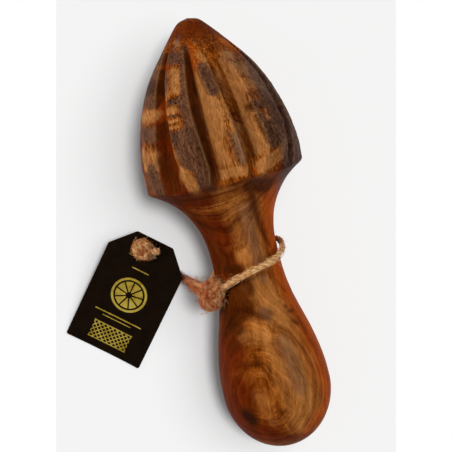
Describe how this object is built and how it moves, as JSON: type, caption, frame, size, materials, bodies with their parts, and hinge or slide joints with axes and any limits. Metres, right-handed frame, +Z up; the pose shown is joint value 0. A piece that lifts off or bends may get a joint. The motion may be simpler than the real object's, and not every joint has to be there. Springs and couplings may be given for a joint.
{
  "type": "citrus reamer",
  "caption": "Hand citrus reamer turned from solid figured olive wood, with a fluted cone, waisted neck and bulb handle, and a black hang tag tied on with jute twine.",
  "frame": {"origin": "On the table, under the middle of the reamer's own extents, the tag and twine left out", "axes": "+Y along the reamer towards the cone's tip, +Z up from the table, +X to the right when looking down with the tip ahead; the tag lies on the -X side"},
  "size_m": [0.0953, 0.1494, 0.054],
  "materials": {
    "olive_wood": "satin",
    "jute": "rough",
    "black_card": "gloss"
  },
  "bodies": {
    "reamer": {"reamer": "olive_wood"},
    "twine": {"neck_loop": "jute", "neck_knot": "jute", "upper_strand": "jute", "lower_strand": "jute", "tag_knot": "jute", "cut_end": "jute"},
    "tag": {"hang_tag": "black_card"}
  },
  "joints": [
    {"name": "loop_turn", "type": "hinge", "parent": "reamer", "child": "twine", "pos_m": [0, -0.0119, 0.02306], "axis": [0, 0.9948, 0.1014], "continuous": true},
    {"name": "tag_swing", "type": "hinge", "parent": "twine", "child": "tag", "pos_m": [-0.03201, 0.00136, 0.01208], "axis": [-0.1879, -0.224, 0.9563], "range_deg": [-100, 5]}
  ]
}
